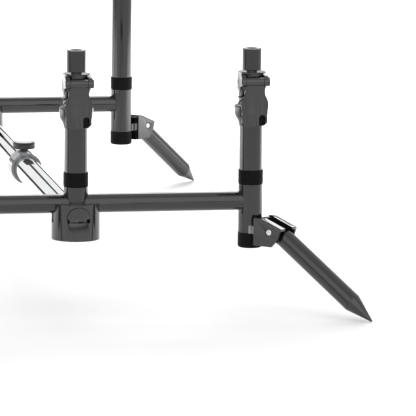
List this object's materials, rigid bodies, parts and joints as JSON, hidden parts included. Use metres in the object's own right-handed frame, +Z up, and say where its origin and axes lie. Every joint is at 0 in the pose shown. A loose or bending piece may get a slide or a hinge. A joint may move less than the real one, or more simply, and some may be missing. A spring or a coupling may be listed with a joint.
{
  "type": "rod pod",
  "caption": "Low fishing rod pod: a telescopic beam joins crossbars that carry lever-clamped telescopic uprights with threaded heads, on folding spike legs.",
  "frame": {"origin": "on the ground under the middle of the beam", "axes": "+X along the crossbars to the right as seen from the front, +Y along the beam to the rear bar, +Z up"},
  "size_m": [0.5158, 0.8818, 0.3994],
  "materials": {
    "graphite": "dark anodised, semi-gloss",
    "clamp_grey": "grey lacquer, satin",
    "sheet_grey": "grey lacquer, semi-gloss",
    "spike_grey": "turned, satin",
    "black_plastic": "moulded, fine grain",
    "chrome_beam": "polished",
    "steel": "bright turned"
  },
  "bodies": {
    "front_frame": {"beam_outer_tube": "chrome_beam", "beam_guide_bush": "black_plastic", "beam_ring_collar": "graphite", "front_hub": "graphite", "front_button_spring": "steel", "front_crossbar": "graphite", "front_sockets": "graphite", "front_socket_bushes": "black_plastic", "front_end_caps": "black_plastic", "front_upright_tubes": "graphite", "front_clamp_bodies": "clamp_grey", "front_lever_pins": "clamp_grey", "front_leg_saddles": "black_plastic", "front_leg_straps": "sheet_grey", "front_saddle_bolts": "steel", "front_leg_pins": "steel", "front_leg_brackets": "sheet_grey"},
    "rear_frame": {"beam_inner_tube": "chrome_beam", "beam_slider_bush": "black_plastic", "rear_hub": "graphite", "rear_button_spring": "steel", "rear_crossbar": "graphite", "rear_sockets": "graphite", "rear_socket_bushes": "black_plastic", "rear_end_caps": "black_plastic", "rear_upright_tubes": "graphite", "rear_clamp_bodies": "clamp_grey", "rear_lever_pins": "clamp_grey", "rear_leg_saddles": "black_plastic", "rear_leg_straps": "sheet_grey", "rear_saddle_bolts": "steel", "rear_leg_pins": "steel", "rear_leg_brackets": "sheet_grey"},
    "thumbscrew": {"beam_thumbscrew": "graphite"},
    "front_button": {"front_release_button": "graphite"},
    "front_post_left": {"front_post_left": "graphite"},
    "front_lever_left": {"front_lever_left": "clamp_grey"},
    "front_post_centre": {"front_post_centre": "graphite"},
    "front_lever_centre": {"front_lever_centre": "clamp_grey"},
    "front_post_right": {"front_post_right": "graphite"},
    "front_lever_right": {"front_lever_right": "clamp_grey"},
    "front_leg_left": {"front_leg_knuckle_left": "black_plastic", "front_leg_tube_left": "graphite", "front_leg_spike_left": "spike_grey"},
    "front_leg_right": {"front_leg_knuckle_right": "black_plastic", "front_leg_tube_right": "graphite", "front_leg_spike_right": "spike_grey"},
    "rear_button": {"rear_release_button": "graphite"},
    "rear_post_left": {"rear_post_left": "graphite"},
    "rear_lever_left": {"rear_lever_left": "clamp_grey"},
    "rear_post_centre": {"rear_post_centre": "graphite"},
    "rear_lever_centre": {"rear_lever_centre": "clamp_grey"},
    "rear_post_right": {"rear_post_right": "graphite"},
    "rear_lever_right": {"rear_lever_right": "clamp_grey"},
    "rear_leg_left": {"rear_leg_knuckle_left": "black_plastic", "rear_leg_tube_left": "graphite", "rear_leg_spike_left": "spike_grey"},
    "rear_leg_right": {"rear_leg_knuckle_right": "black_plastic", "rear_leg_tube_right": "graphite", "rear_leg_spike_right": "spike_grey"}
  },
  "joints": [
    {"name": "beam_slide", "type": "slide", "parent": "front_frame", "child": "rear_frame", "axis": [0, 1, 0], "range_m": [-0.24, 0.03]},
    {"name": "thumbscrew_turn", "type": "hinge", "parent": "front_frame", "child": "thumbscrew", "pos_m": [0, 0.011, 0.1021], "axis": [0, 0, 1], "range_deg": [0, 720]},
    {"name": "front_button_press", "type": "slide", "parent": "front_frame", "child": "front_button", "axis": [0, 1, 0], "range_m": [0, 0.002], "stiffness_N_per_m": 800, "springref_m": -0.001, "deforming": ["front_button_spring"]},
    {"name": "front_post_left_slide", "type": "slide", "parent": "front_frame", "child": "front_post_left", "axis": [0, 0, 1], "range_m": [-0.0011, 0.06]},
    {"name": "front_lever_left_open", "type": "hinge", "parent": "front_frame", "child": "front_lever_left", "pos_m": [-0.162, -0.3618, 0.2102], "axis": [-1, 0, 0], "range_deg": [0, 110]},
    {"name": "front_post_centre_slide", "type": "slide", "parent": "front_frame", "child": "front_post_centre", "axis": [0, 0, 1], "range_m": [-0.0011, 0.06]},
    {"name": "front_lever_centre_open", "type": "hinge", "parent": "front_frame", "child": "front_lever_centre", "pos_m": [0, -0.3618, 0.2102], "axis": [-1, 0, 0], "range_deg": [0, 110]},
    {"name": "front_post_right_slide", "type": "slide", "parent": "front_frame", "child": "front_post_right", "axis": [0, 0, 1], "range_m": [-0.0011, 0.06]},
    {"name": "front_lever_right_open", "type": "hinge", "parent": "front_frame", "child": "front_lever_right", "pos_m": [0.162, -0.3618, 0.2102], "axis": [-1, 0, 0], "range_deg": [0, 110]},
    {"name": "front_leg_left_fold", "type": "hinge", "parent": "front_frame", "child": "front_leg_left", "pos_m": [-0.18314, -0.36614, 0.0732], "axis": [0.7071, -0.7071, 0], "range_deg": [0, 54]},
    {"name": "front_leg_right_fold", "type": "hinge", "parent": "front_frame", "child": "front_leg_right", "pos_m": [0.18314, -0.36614, 0.0732], "axis": [0.7071, 0.7071, 0], "range_deg": [0, 54]},
    {"name": "rear_button_press", "type": "slide", "parent": "rear_frame", "child": "rear_button", "axis": [0, -1, 0], "range_m": [0, 0.002], "stiffness_N_per_m": 800, "springref_m": -0.001, "deforming": ["rear_button_spring"]},
    {"name": "rear_post_left_slide", "type": "slide", "parent": "rear_frame", "child": "rear_post_left", "axis": [0, 0, 1], "range_m": [-0.0011, 0.2]},
    {"name": "rear_lever_left_open", "type": "hinge", "parent": "rear_frame", "child": "rear_lever_left", "pos_m": [-0.149, 0.3618, 0.3702], "axis": [1, 0, 0], "range_deg": [0, 110]},
    {"name": "rear_post_centre_slide", "type": "slide", "parent": "rear_frame", "child": "rear_post_centre", "axis": [0, 0, 1], "range_m": [-0.0011, 0.2]},
    {"name": "rear_lever_centre_open", "type": "hinge", "parent": "rear_frame", "child": "rear_lever_centre", "pos_m": [0, 0.3618, 0.3702], "axis": [1, 0, 0], "range_deg": [0, 110]},
    {"name": "rear_post_right_slide", "type": "slide", "parent": "rear_frame", "child": "rear_post_right", "axis": [0, 0, 1], "range_m": [-0.0011, 0.2]},
    {"name": "rear_lever_right_open", "type": "hinge", "parent": "rear_frame", "child": "rear_lever_right", "pos_m": [0.149, 0.3618, 0.3702], "axis": [1, 0, 0], "range_deg": [0, 110]},
    {"name": "rear_leg_left_fold", "type": "hinge", "parent": "rear_frame", "child": "rear_leg_left", "pos_m": [-0.17014, 0.36614, 0.0732], "axis": [-0.7071, -0.7071, 0], "range_deg": [0, 54]},
    {"name": "rear_leg_right_fold", "type": "hinge", "parent": "rear_frame", "child": "rear_leg_right", "pos_m": [0.17014, 0.36614, 0.0732], "axis": [-0.7071, 0.7071, 0], "range_deg": [0, 54]}
  ]
}
